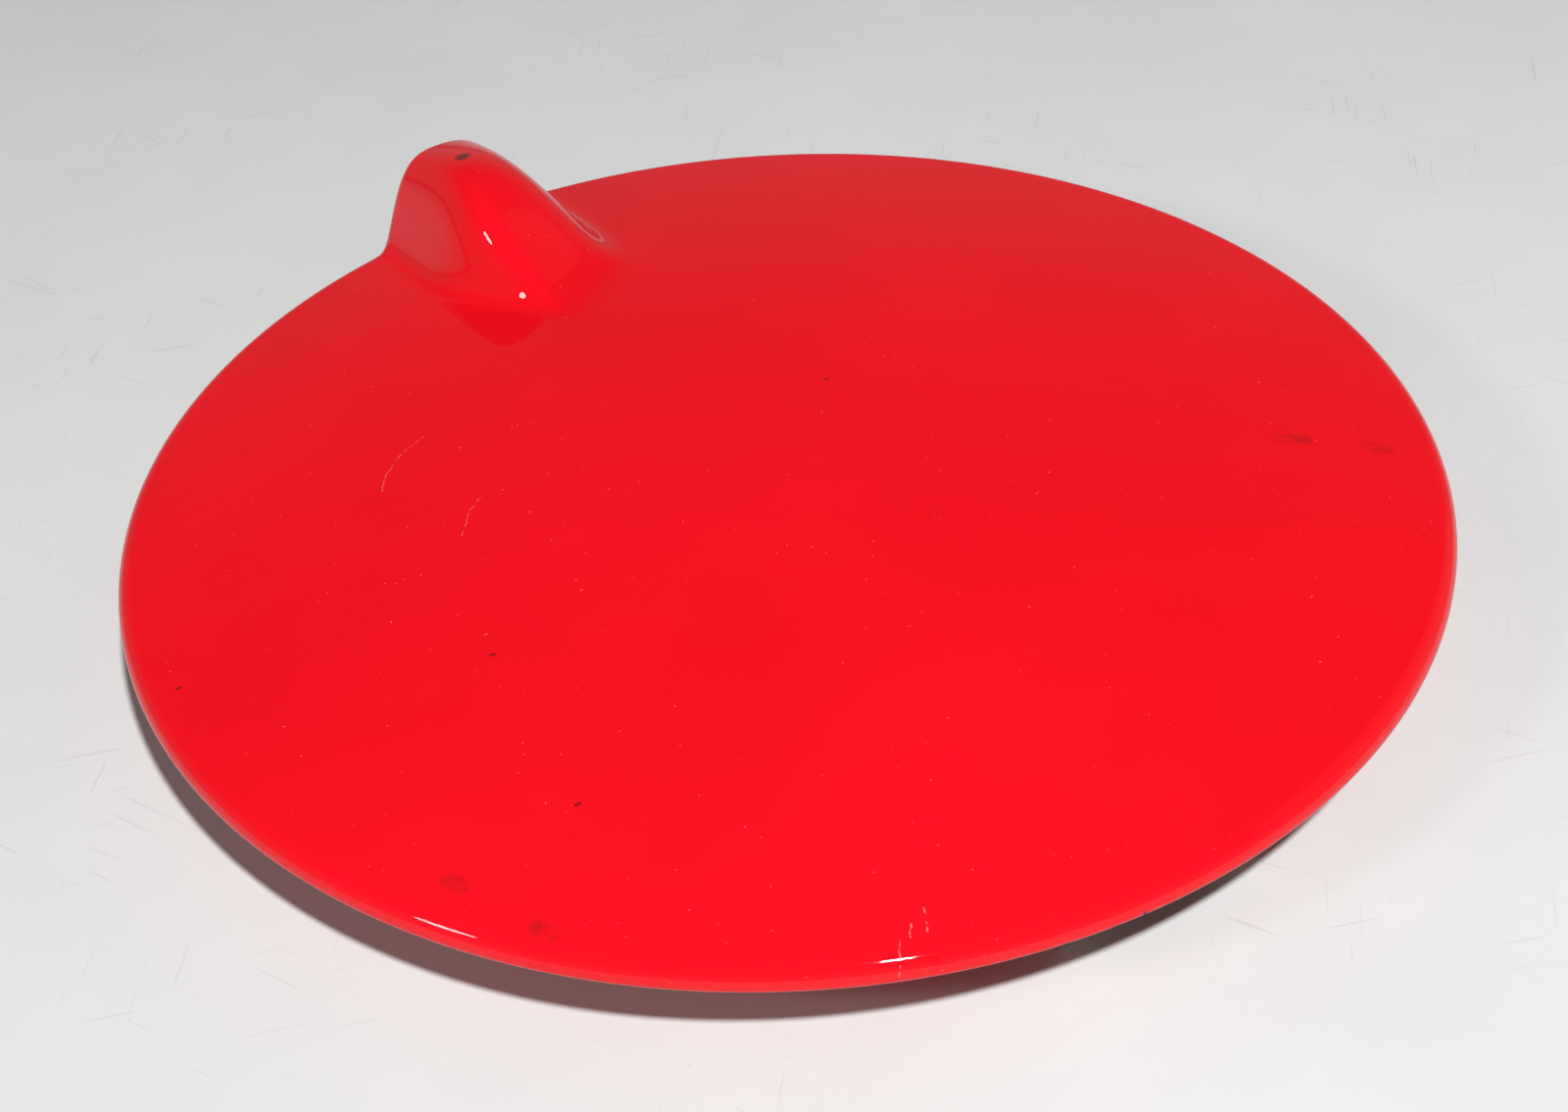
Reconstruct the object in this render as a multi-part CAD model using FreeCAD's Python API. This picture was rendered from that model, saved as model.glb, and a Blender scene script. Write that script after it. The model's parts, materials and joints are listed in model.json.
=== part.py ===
"""Round fuel filler flap with its concealed hinge, in millimetres.

The origin is the centre of the disc on the plane that the bracket and the two buffers stand on.
+Z points out of the painted face, +Y points from the hinge to the finger pull, and the hinge axis
runs along X. Two bodies: the hinge bracket stays on the car, and the flap swings on it.
"""
import FreeCAD, Part
import math
import os

V = FreeCAD.Vector
X_AXIS = V(1, 0, 0)
Y_AXIS = V(0, 1, 0)
Z_AXIS = V(0, 0, 1)
ORIGIN = V(0, 0, 0)
FULL = 360.0

# ---- the disc
DISC_RADIUS = 90.0
RIM_ROLL = 2.5            # outside radius of the rolled rim
ROLL_HEIGHT = 13.0        # height of the roll's centre
DOME_RADIUS = 626.0       # outside of the crowned face
SKIN = 0.9                # sheet thickness of the outer skin
HEM_HEIGHT = 12.0         # underside of the hem
HEM_WIDTH = 4.0           # how far the hem is folded inwards

# ---- the finger pull, a hollow hump pressed up at the rim: four sloping flanks under a crest.
# A flank rises towards its turn, an angle from +Y to +X, from a foot line at its distance from
# the centre along that angle: (turn, distance, slope), angles in degrees
LEFT_FLANK = (90.0, -16.9, 70.0)
RIGHT_FLANK = (-90.0, -9.4, 63.0)
TAIL_FLANK = (-27.5, 47.8, 44.5)
CORNER_FLANK = (61.0, 17.1, 74.5)
PULL_TOP = 14.3           # crest at the rim
CREST_RISE = 0.18         # and its rise per millimetre inwards
CROWN_SOFTNESS = 4.1      # how widely the flanks and the crest blend into each other
FOOT_SOFTNESS = 1.6       # how widely the hump blends into the dome

# ---- the sector of the skin that is pressed into the pull
SECTOR_HALF = 32.0        # degrees
SECTOR_INNER = 28.0
SECTOR_OVERLAP = 1.0      # degrees and millimetres that the pressed sector laps the disc by
SECTOR_PROUD = 0.05       # and stands proud, so that the two sheets knit together
LIP_HEIGHT = 12.45        # bottom of the pull's lip before the hump lifts it
SECTOR_COLUMNS = 65
SECTOR_ROWS = 28
ROLL_ROWS = 9

# ---- inner panel
PANEL = 0.8
PANEL_RADIUS = 88.2
PANEL_FLANGE = 82.0       # the flat flange starts here
PANEL_CROWN = 17.0        # top of the panel at the centre
PANEL_SEAT = HEM_HEIGHT + SKIN
SWAGE_INNER = 32.0        # a ring pressed down between these radii
SWAGE_OUTER = 41.0
SWAGE_DEPTH = 1.5
SEAT_MARGIN = 2.0         # how far the leaf's pocket in the panel reaches past the leaf
SEAT_MARGIN_FRONT = 1.5
SEALER_LEG = 1.1          # width of the sealer bead on the panel
SEALER_DROP = 0.1         # how far it stays short of the hem's underside

# ---- hinge axis, and the places of the knuckles along it
PIVOT_Y = -81.5
PIVOT_Z = 9.5
PIN_RADIUS = 1.75
EAR = 2.0                 # thickness of every ear
LEAF_EAR_X = 9.0          # inner face of each leaf ear
BUSH_FLANGE = 0.8
RUNNING_GAP = 0.3
BUSH_CLEARANCE = 0.05
BUSH_RADIUS = 2.4
LEAF_EAR_RADIUS = 3.2
BRACKET_EAR_RADIUS = 3.0
BRACKET_EAR_X = LEAF_EAR_X + EAR + BUSH_FLANGE + RUNNING_GAP

# ---- leaf, bolted under the inner panel
LEAF_TOP = 12.4
LEAF = 2.0
LEAF_HALF = 18.0
LEAF_FRONT = -76.0
LEAF_BACK = -44.0
LEAF_BACK_CORNER = 5.0
LEAF_FRONT_CORNER = 2.0
LEAF_BOLTS = [(-12.0, -64.0), (12.0, -64.0), (0.0, -50.0)]
NOSE_REACH = 4.2          # the nose on each leaf ear that meets the open stop
NOSE_REST_ANGLE = 215.0
NOSE_HALF = 0.9
BOLT_RADIUS = 2.45
BOLT_HOLE = 2.7
BOLT_HEAD = 4.5           # head radius
BOLT_HEAD_HEIGHT = 2.7
BOLT_KEY = 3.0            # hexagon socket across its flats
BOLT_TIP = 3.2            # reach of the screw past the panel
WASHER = 0.8
WASHER_RADIUS = 5.0
NUT_FLATS = 8.0
NUT_HEIGHT = 3.4
NUT_TURNED = 4.7          # radius that the nut's corners are turned to
NUT_CHAMFER = 0.6

# ---- bracket, bolted to the car
BASE = 1.5
BASE_FRONT = -79.0
BASE_BACK = -50.0
BASE_HALF = 24.0
TONGUE_HALF = 14.1
BASE_CORNER = 4.0
EAR_FOOT = 14.0           # where the bracket's ears end on the base, from its front
MOUNT_X = 17.0
MOUNT_Y = -58.0
MOUNT_EDGE = 8.0          # from the mounting holes to the wide part's front edge
MOUNT_HOLE = 2.75
STOP_TOP = 5.8            # rubber stop pads on the base
STOP_DEPTH = 3.0
STOP_OVERHANG = 0.4
STOP_EDGE = 0.5

# ---- pin, with its head, washer and clip
PIN_SPAN = BRACKET_EAR_X + EAR
PIN_HEAD_RADIUS = 2.8
PIN_HEAD = 1.3
PIN_HEAD_EDGE = 0.6
PIN_END = 1.0             # bare pin past the clip
PIN_CHAMFER = 0.4
PIN_WASHER = 0.5
PIN_WASHER_RADIUS = 2.9
GROOVE_RADIUS = 1.3
CLIP = 0.6
CLIP_RADIUS = 3.0
CLIP_GAP = 0.3            # between the pin and the clip's ring
CLIP_MOUTH = 1.4          # half its width
PRONG_REACH = 2.4
PRONG_HALF = 0.6
PRONG_TURNS = [30.0, 90.0, 150.0]

# ---- spring
WIRE = 0.45               # wire radius
COIL_RADIUS = 2.45
COIL_PITCH = 1.15
COIL_TURNS = 12           # whole turns, left-handed, so that the legs leave along Y
COIL_HALF = COIL_PITCH * COIL_TURNS / 2
BRIDGE_Y = -70.0          # the bridge on the base that holds the car-side leg
BRIDGE_LENGTH = 3.0
BRIDGE_HALF = 2.4
BRIDGE_ROOF = 1.0
TUNNEL_HALF = 1.4
LEG_GAP = 0.1             # between the leg and the base

# ---- parts under the panel
BUFFER_AZIMUTHS = {"buffer_right": 30.0, "buffer_left": 150.0}
BUFFER_PLACE = 70.0
BUFFER_NECK = 3.0
BUFFER_FOOT = 3.6         # radii of the face it stands on, and above its rounded edge
BUFFER_FOOT_SIDE = 4.4
BUFFER_COLLAR = 6.4
MASTIC_PLACE = 48.0
MASTIC_AZIMUTHS = [0.0, 50.0, 130.0, 180.0, 225.0, 315.0]
MASTIC_RADIUS = 6.0
PLUG_PLACES = [(-52.0, -14.0), (52.0, -14.0)]
PLUG_NECK = 5.9
PLUG_FACE = 6.6
PLUG_FLANGE = 7.6
BARB_GAP = 0.6            # between the sloping panel and a rubber flange or barb
FIT = 0.05                # radial clearance of a shank in its hole

# ---- catch striker: a wire loop on a plate
STRIKER_Y = 50.0
STRIKER_PLATE = 2.6       # from the panel to the plate's underside
STRIKER_PLATE_X = 15.0    # half sizes of the plate
STRIKER_PLATE_Y = 6.0
STRIKER_PLATE_CORNER = 3.0
STRIKER_WIRE = 1.6
STRIKER_HALF = 5.0
STRIKER_BOTTOM = 2.2
STRIKER_SCREW = 1.95
STRIKER_SCREW_X = 10.5
STRIKER_HOLE_GAP = 0.15
STRIKER_HEAD = 3.6
STRIKER_HEAD_HEIGHT = 2.2
STRIKER_KEY = 2.5
STRIKER_TIP = 2.0

# ---- cap holder: a hook on a plate, held by two rivets
HOLDER_Y = 10.0           # back of the hook
HOLDER_PLATE = 2.8        # from the panel to the plate's underside
HOLDER_HALF = 15.0
HOLDER_BEHIND = 2.0       # how far the plate reaches behind and before the hook's back
HOLDER_AHEAD = 18.0
HOLDER_CORNER = 4.0
HOLDER_WALL = 2.4
HOLDER_SLOT = 5.4
HOLDER_BOTTOM = 2.6
HOOK_HALF = 8.0
HOOK_LIP = 3.4            # height of the hook's lip over its floor
HOOK_EDGE = 1.0
RIVET = 2.0
RIVET_X = 10.0
RIVET_Y = 14.0
RIVET_HEAD = 3.6
RIVET_HEAD_HEIGHT = 1.5

PARTS_FOLDER = "parts"


# ------------------------------------------------------------------ helpers
def tangent_angle():
    """Where the dome meets the rolled rim, as an angle from the dome's axis."""
    return math.asin((DISC_RADIUS - RIM_ROLL) / (DOME_RADIUS - RIM_ROLL))


DOME_CENTRE = ROLL_HEIGHT - (DOME_RADIUS - RIM_ROLL) * math.cos(tangent_angle())


def box(x0, x1, y0, y1, z0, z1):
    return Part.makeBox(x1 - x0, y1 - y0, z1 - z0, V(x0, y0, z0))


def disc(radius, z0, z1, x=0.0, y=0.0):
    return Part.makeCylinder(radius, z1 - z0, V(x, y, z0), Z_AXIS)


def rod(radius, x0, x1, y=PIVOT_Y, z=PIVOT_Z):
    return Part.makeCylinder(radius, x1 - x0, V(x0, y, z), X_AXIS)


def revolve(edges):
    """Turn a closed outline in the XZ plane about the Z axis."""
    return Part.Face(Part.Wire(edges)).revolve(ORIGIN, Z_AXIS, FULL)


def outline(points):
    """Closed straight-sided outline through (r, z) points."""
    corners = [V(r, 0, z) for r, z in points]
    return Part.makePolygon(corners + corners[:1]).Edges


def turned(points, x=0.0, y=0.0):
    solid = revolve(outline(points))
    solid.translate(V(x, y, 0))
    return solid


def arc(start, middle, end):
    return Part.Arc(V(start[0], 0, start[1]), V(middle[0], 0, middle[1]), V(end[0], 0, end[1])).toShape()


def line(start, end):
    return Part.LineSegment(V(start[0], 0, start[1]), V(end[0], 0, end[1])).toShape()


def fuse(shapes):
    return shapes[0].multiFuse(shapes[1:]).removeSplitter()


def upright_edges(shape):
    return [e for e in shape.Edges if abs(e.tangentAt(e.FirstParameter).z) > 0.9]


def both_sides(side, near, far):
    """An x range from near to far on the side -1 or 1, lower end first."""
    return sorted((side * near, side * far))


def prism_yz(points, x0, x1):
    """Closed outline of (y, z) points, extruded along X."""
    corners = [V(x0, y, z) for y, z in points]
    face = Part.Face(Part.makePolygon(corners + corners[:1]))
    return face.extrude(V(x1 - x0, 0, 0))


def strap_yz(radius, foot, x0, x1):
    """Plate whose outline wraps the hinge axis and runs straight to a foot of two (y, z) points."""
    lower, upper = foot
    normals = []
    for point, side in ((lower, 1.0), (upper, -1.0)):
        away = math.atan2(point[1] - PIVOT_Z, point[0] - PIVOT_Y)
        reach = math.hypot(point[0] - PIVOT_Y, point[1] - PIVOT_Z)
        normals.append(away - side * math.acos(radius / reach))
    start, end = [(PIVOT_Y + radius * math.cos(n), PIVOT_Z + radius * math.sin(n)) for n in normals]
    web = prism_yz([start, lower, upper, end, (PIVOT_Y, PIVOT_Z)], x0, x1)
    return web.fuse(rod(radius, x0, x1))


# ------------------------------------------------------------------ the shape of the pull
def pull_height(x, y, inset=0.0):
    """Height of the finger pull over the plain disc; inset gives the sheet's other face."""
    planes = [PULL_TOP + CREST_RISE * (DISC_RADIUS - y)]
    for turn, distance, slope in (LEFT_FLANK, RIGHT_FLANK, TAIL_FLANK, CORNER_FLANK):
        turn = math.radians(turn)
        slope = math.radians(slope)
        run = x * math.sin(turn) + y * math.cos(turn) - distance
        planes.append(run * math.tan(slope) - inset * (1.0 / math.cos(slope) - 1.0))
    hump = -CROWN_SOFTNESS * math.log(sum(math.exp(-p / CROWN_SOFTNESS) for p in planes))
    return FOOT_SOFTNESS * math.log1p(math.exp(hump / FOOT_SOFTNESS))


def section_rows(inset):
    """(r, z) points along the skin's section, from the sector's inner edge over the roll to the lip."""
    dome = DOME_RADIUS - inset
    roll = RIM_ROLL - inset
    turn = tangent_angle()
    last = dome * math.sin(turn)
    rows = []
    for i in range(SECTOR_ROWS):
        r = SECTOR_INNER + (last - SECTOR_INNER) * i / SECTOR_ROWS
        rows.append((r, DOME_CENTRE + math.sqrt(dome ** 2 - r ** 2)))
    for i in range(ROLL_ROWS):
        angle = turn + (math.pi / 2 - turn) * i / (ROLL_ROWS - 1)
        rows.append((DISC_RADIUS - RIM_ROLL + roll * math.sin(angle), ROLL_HEIGHT + roll * math.cos(angle)))
    rows.append((rows[-1][0], LIP_HEIGHT))
    return rows


def sector_surface(inset):
    """One face of the pressed sector, through a grid of points."""
    grid = []
    for r, z in section_rows(inset):
        row = []
        for i in range(SECTOR_COLUMNS):
            turn = math.radians(SECTOR_HALF * (2.0 * i / (SECTOR_COLUMNS - 1) - 1.0))
            x = r * math.sin(turn)
            y = r * math.cos(turn)
            row.append(V(x, y, z + pull_height(x, y, max(inset, 0.0))))
        grid.append(row)
    surface = Part.BSplineSurface()
    surface.interpolate(grid)
    return surface.toShape()


def sector_solid():
    """The pressed sector as a closed sheet."""
    outer = sector_surface(-SECTOR_PROUD)
    inner = sector_surface(SKIN + SECTOR_PROUD)
    sides = [Part.makeRuledSurface(a, b) for a, b in zip(outer.Edges, inner.Edges)]
    shell = Part.makeShell([outer, inner] + sides)
    shell.sewShape()
    solid = Part.Solid(Part.Shell(shell.Faces))
    solid.fix(0.001, 0.001, 0.001)
    return solid


def wedge(half_angle, inner, z0, z1):
    """Sector about +Y, from the inner radius to well past the disc."""
    reach = 1.2 * DISC_RADIUS
    left = V(-reach * math.sin(math.radians(half_angle)), reach * math.cos(math.radians(half_angle)), z0)
    right = V(-left.x, left.y, z0)
    face = Part.Face(Part.makePolygon([V(0, 0, z0), right, left, V(0, 0, z0)]))
    return face.extrude(V(0, 0, z1 - z0)).cut(disc(inner, z0, z1))


# ------------------------------------------------------------------ flap
def outer_skin():
    turn = tangent_angle()
    half = turn / 2
    middle = (turn + math.pi / 2) / 2
    centre = DISC_RADIUS - RIM_ROLL

    def on_dome(radius, angle):
        return (radius * math.sin(angle), DOME_CENTRE + radius * math.cos(angle))

    def on_roll(radius, angle):
        return (centre + radius * math.sin(angle), ROLL_HEIGHT + radius * math.cos(angle))

    inner_dome = DOME_RADIUS - SKIN
    inner_roll = RIM_ROLL - SKIN
    wall = DISC_RADIUS - SKIN
    hem_top = HEM_HEIGHT + SKIN
    hem_edge = DISC_RADIUS - HEM_WIDTH
    edges = [
        arc(on_dome(DOME_RADIUS, 0), on_dome(DOME_RADIUS, half), on_dome(DOME_RADIUS, turn)),
        arc(on_roll(RIM_ROLL, turn), on_roll(RIM_ROLL, middle), (DISC_RADIUS, ROLL_HEIGHT)),
        line((DISC_RADIUS, ROLL_HEIGHT), (DISC_RADIUS, HEM_HEIGHT)),
        line((DISC_RADIUS, HEM_HEIGHT), (hem_edge, HEM_HEIGHT)),
        line((hem_edge, HEM_HEIGHT), (hem_edge, hem_top)),
        line((hem_edge, hem_top), (wall, hem_top)),
        line((wall, hem_top), (wall, ROLL_HEIGHT)),
        arc((wall, ROLL_HEIGHT), on_roll(inner_roll, middle), on_roll(inner_roll, turn)),
        arc(on_dome(inner_dome, turn), on_dome(inner_dome, half), on_dome(inner_dome, 0)),
        line(on_dome(inner_dome, 0), on_dome(DOME_RADIUS, 0)),
    ]
    plain = revolve(edges)
    inner = SECTOR_INNER + SECTOR_OVERLAP
    hole = wedge(SECTOR_HALF - SECTOR_OVERLAP, inner, hem_top, hem_top + 2 * PULL_TOP)
    return plain.cut(hole).fuse(sector_solid())


def panel_ball(drop):
    """The crowned surface of the panel as a large ball, lowered by drop."""
    sag = PANEL_CROWN - (PANEL_SEAT + PANEL)
    radius = (PANEL_FLANGE ** 2 + sag ** 2) / (2 * sag)
    return radius, PANEL_CROWN - radius - drop


def under_panel(shape):
    """Trim a shape to the underside of the inner panel."""
    radius, centre = panel_ball(PANEL)
    return shape.common(Part.makeSphere(radius, V(0, 0, centre)))


def inner_panel():
    """The crowned panel that stiffens the flap, with a flat seat for the hinge leaf."""
    radius, top_centre = panel_ball(0)

    def face(drop):
        """Outline of one face from the axis to the outer edge."""
        centre = top_centre - drop

        def crown(r):
            return (r, centre + math.sqrt(radius ** 2 - r ** 2))

        inner = crown(SWAGE_INNER)
        outer = crown(SWAGE_OUTER)
        low_in = (SWAGE_INNER + SWAGE_DEPTH, inner[1] - SWAGE_DEPTH)
        low_out = (SWAGE_OUTER - SWAGE_DEPTH, outer[1] - SWAGE_DEPTH)
        edge = PANEL_SEAT + PANEL - drop
        return [
            arc(crown(0), crown(SWAGE_INNER / 2), inner),
            line(inner, low_in),
            line(low_in, low_out),
            line(low_out, outer),
            arc(outer, crown((SWAGE_OUTER + PANEL_FLANGE) / 2), (PANEL_FLANGE, edge)),
            line((PANEL_FLANGE, edge), (PANEL_RADIUS, edge)),
        ]

    ends = [
        line((PANEL_RADIUS, PANEL_SEAT), (PANEL_RADIUS, PANEL_SEAT + PANEL)),
        line((0, PANEL_CROWN - PANEL), (0, PANEL_CROWN)),
    ]
    panel = revolve(Part.__sortEdges__(face(0) + face(PANEL) + ends))
    side = LEAF_HALF + SEAT_MARGIN
    front = LEAF_FRONT - SEAT_MARGIN_FRONT
    back = LEAF_BACK + SEAT_MARGIN
    roof = PANEL_CROWN + 1
    pocket = box(-side, side, front, back, LEAF_TOP, roof)
    hollow = box(PANEL - side, side - PANEL, front + PANEL, back - PANEL, LEAF_TOP + PANEL, roof)
    walls = pocket.common(Part.makeSphere(radius, V(0, 0, top_centre))).cut(hollow)
    panel = panel.cut(pocket).fuse(walls)
    holes = [disc(BOLT_HOLE, LEAF_TOP - 1, roof, x, y) for x, y in LEAF_BOLTS]
    holes += [disc(BUFFER_NECK + FIT, 0, roof, x, y) for x, y in buffer_places().values()]
    holes += [disc(PLUG_NECK + FIT, 0, roof, x, y) for x, y in PLUG_PLACES]
    holes += [disc(STRIKER_SCREW + FIT, 0, roof, x, STRIKER_Y) for x in (-STRIKER_SCREW_X, STRIKER_SCREW_X)]
    holes += [disc(RIVET + FIT, 0, roof, x, HOLDER_Y + RIVET_Y) for x in (-RIVET_X, RIVET_X)]
    return panel.cut(Part.makeCompound(holes)).removeSplitter()


def hem_sealer():
    """Bead of sealer in the corner between the hem's raw edge and the panel."""
    edge = DISC_RADIUS - HEM_WIDTH
    return turned([(edge, HEM_HEIGHT + SEALER_DROP), (edge, PANEL_SEAT), (edge - SEALER_LEG, PANEL_SEAT)])


def mastic_dot(azimuth):
    """Soft dot that fills the gap between panel and skin and keeps the skin from drumming."""
    x = MASTIC_PLACE * math.cos(math.radians(azimuth))
    y = MASTIC_PLACE * math.sin(math.radians(azimuth))
    radius, centre = panel_ball(0)
    dot = disc(MASTIC_RADIUS, PANEL_CROWN - 4, PANEL_CROWN + 6, x, y)
    dot = dot.common(Part.makeSphere(DOME_RADIUS - SKIN, V(0, 0, DOME_CENTRE)))
    return dot.cut(Part.makeSphere(radius, V(0, 0, centre)))


def blanking_plug(x, y):
    """Rubber plug that closes a paint-drain hole in the panel."""
    low = panel_height(x, y) - PANEL
    high = low + PANEL
    under = low - BARB_GAP
    over = high + BARB_GAP
    points = [(0, under - 1.0), (PLUG_FACE, under - 1.0), (PLUG_FLANGE, under - 0.4), (PLUG_FLANGE, under),
              (PLUG_NECK, under), (PLUG_NECK, over), (PLUG_NECK + 0.6, over + 0.2),
              (PLUG_NECK - 0.5, over + 1.0), (0, over + 1.0)]
    return turned(points, x, y)


def panel_height(x, y):
    """Top of the panel over a point inside its crowned part."""
    radius, centre = panel_ball(0)
    return centre + math.sqrt(radius ** 2 - x ** 2 - y ** 2)


def buffer_places():
    places = {}
    for name, azimuth in BUFFER_AZIMUTHS.items():
        turn = math.radians(azimuth)
        places[name] = (BUFFER_PLACE * math.cos(turn), BUFFER_PLACE * math.sin(turn))
    return places


def buffer(x, y):
    """Rubber buffer: a tapered foot below the panel and a barbed head above it."""
    low = panel_height(x, y) - PANEL
    high = low + PANEL
    under = low - BARB_GAP
    over = high + BARB_GAP
    points = [(0, 0), (BUFFER_FOOT, 0), (BUFFER_FOOT_SIDE, 0.8), (BUFFER_COLLAR - 0.8, under - 2.2),
              (BUFFER_COLLAR, under - 1.2), (BUFFER_COLLAR, under), (BUFFER_NECK, under), (BUFFER_NECK, over),
              (BUFFER_NECK + 0.9, over + 0.2), (BUFFER_NECK, over + 1.1), (0, over + 1.1)]
    return turned(points, x, y)


# ------------------------------------------------------------------ hinge, flap side
def hinge_leaf():
    """Steel leaf: a plate under the panel with two ears round the hinge axis."""
    plate = box(-LEAF_HALF, LEAF_HALF, LEAF_FRONT, LEAF_BACK, LEAF_TOP - LEAF, LEAF_TOP)
    middle = (LEAF_FRONT + LEAF_BACK) / 2
    plate = plate.makeFillet(LEAF_BACK_CORNER, [e for e in upright_edges(plate) if e.CenterOfMass.y > middle])
    plate = plate.makeFillet(LEAF_FRONT_CORNER,
                             [e for e in upright_edges(plate) if e.CenterOfMass.y < LEAF_FRONT + 1])
    shapes = [plate]
    foot = [(LEAF_FRONT + 5, LEAF_TOP - LEAF), (LEAF_FRONT + 1, LEAF_TOP - 0.4)]
    for side in (-1, 1):
        x0, x1 = both_sides(side, LEAF_EAR_X, LEAF_EAR_X + EAR)
        ear = strap_yz(LEAF_EAR_RADIUS, foot, x0, x1)
        nose = box(x0, x1, PIVOT_Y, PIVOT_Y + NOSE_REACH, PIVOT_Z - NOSE_HALF, PIVOT_Z + NOSE_HALF)
        nose.rotate(V(0, PIVOT_Y, PIVOT_Z), X_AXIS, NOSE_REST_ANGLE)
        shapes += [ear, nose]
    leaf = fuse(shapes)
    holes = [disc(BOLT_HOLE, LEAF_TOP - LEAF - 1, LEAF_TOP + 1, x, y) for x, y in LEAF_BOLTS]
    holes.append(rod(BUSH_RADIUS, -LEAF_HALF, LEAF_HALF))
    return leaf.cut(Part.makeCompound(holes))


def bush(side):
    """Flanged nylon bush in a leaf ear."""
    outer = LEAF_EAR_X + EAR
    sleeve = rod(BUSH_RADIUS, *both_sides(side, LEAF_EAR_X, outer))
    flange = rod(LEAF_EAR_RADIUS, *both_sides(side, outer, outer + BUSH_FLANGE))
    bore = rod(PIN_RADIUS + BUSH_CLEARANCE, -LEAF_HALF, LEAF_HALF)
    return sleeve.fuse(flange).cut(bore).removeSplitter()


def hexagon(across_flats, z0, z1, x=0.0, y=0.0):
    corner = across_flats / math.sqrt(3)
    points = []
    for i in range(7):
        turn = math.pi / 3 * i
        points.append(V(x + corner * math.cos(turn), y + corner * math.sin(turn), z0))
    return Part.Face(Part.makePolygon(points)).extrude(V(0, 0, z1 - z0))


def screw(x, y, seat, shank, head, head_height, tip, key):
    """Button-head screw driven upwards from a seat to a tip, with a hexagon socket in its head."""
    low = seat - head_height
    points = [(0, low), (head * 0.62, low), (head * 0.92, low + head_height * 0.45), (head, seat - 0.3),
              (head, seat), (shank, seat), (shank, tip - 0.6), (shank - 0.6, tip), (0, tip)]
    return turned(points, x, y).cut(hexagon(key, low - 1, low + head_height * 0.6, x, y))


def leaf_screw(x, y):
    return screw(x, y, LEAF_TOP - LEAF - WASHER, BOLT_RADIUS, BOLT_HEAD, BOLT_HEAD_HEIGHT,
                 LEAF_TOP + PANEL + BOLT_TIP, BOLT_KEY)


def leaf_washer(x, y):
    seat = LEAF_TOP - LEAF
    low = seat - WASHER
    return disc(WASHER_RADIUS, low, seat, x, y).cut(disc(BOLT_HOLE, low - 1, seat + 1, x, y))


def weld_nut(x, y):
    """Hexagon weld nut with a chamfered top, on the panel's seat."""
    low = LEAF_TOP + PANEL
    high = low + NUT_HEIGHT
    blank = turned([(0, low), (NUT_TURNED, low), (NUT_TURNED, high - NUT_CHAMFER),
                    (NUT_TURNED - NUT_CHAMFER, high), (0, high)], x, y)
    nut = hexagon(NUT_FLATS, low, high, x, y).common(blank)
    return nut.cut(disc(BOLT_RADIUS + FIT, low - 1, high + 1, x, y))


# ------------------------------------------------------------------ catch striker and cap holder
def striker_plate_low():
    return panel_height(0, STRIKER_Y) - PANEL - STRIKER_PLATE


def catch_striker():
    """Wire loop welded to a plate; the catch on the car grips the loop."""
    low = striker_plate_low()
    plate = box(-STRIKER_PLATE_X, STRIKER_PLATE_X, STRIKER_Y - STRIKER_PLATE_Y, STRIKER_Y + STRIKER_PLATE_Y,
                low, PANEL_CROWN)
    plate = under_panel(plate.makeFillet(STRIKER_PLATE_CORNER, upright_edges(plate)))
    bend = STRIKER_BOTTOM + STRIKER_WIRE + STRIKER_HALF
    left_end = V(-STRIKER_HALF, STRIKER_Y, low + 1)
    left_bend = V(-STRIKER_HALF, STRIKER_Y, bend)
    right_bend = V(STRIKER_HALF, STRIKER_Y, bend)
    right_end = V(STRIKER_HALF, STRIKER_Y, low + 1)
    loop = Part.Wire([
        Part.LineSegment(left_end, left_bend).toShape(),
        Part.Arc(left_bend, V(0, STRIKER_Y, bend - STRIKER_HALF), right_bend).toShape(),
        Part.LineSegment(right_bend, right_end).toShape(),
    ])
    section = Part.Wire(Part.makeCircle(STRIKER_WIRE, left_end, Z_AXIS))
    wire = loop.makePipeShell([section], True, True)
    bore = STRIKER_SCREW + STRIKER_HOLE_GAP
    holes = [disc(bore, 0, PANEL_CROWN, x, STRIKER_Y) for x in (-STRIKER_SCREW_X, STRIKER_SCREW_X)]
    return plate.fuse(wire).cut(Part.makeCompound(holes))


def striker_screw(x):
    tip = panel_height(x, STRIKER_Y) + STRIKER_TIP
    return screw(x, STRIKER_Y, striker_plate_low(), STRIKER_SCREW, STRIKER_HEAD, STRIKER_HEAD_HEIGHT, tip,
                 STRIKER_KEY)


def holder_plate_low():
    return panel_height(0, HOLDER_Y) - PANEL - HOLDER_PLATE


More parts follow.
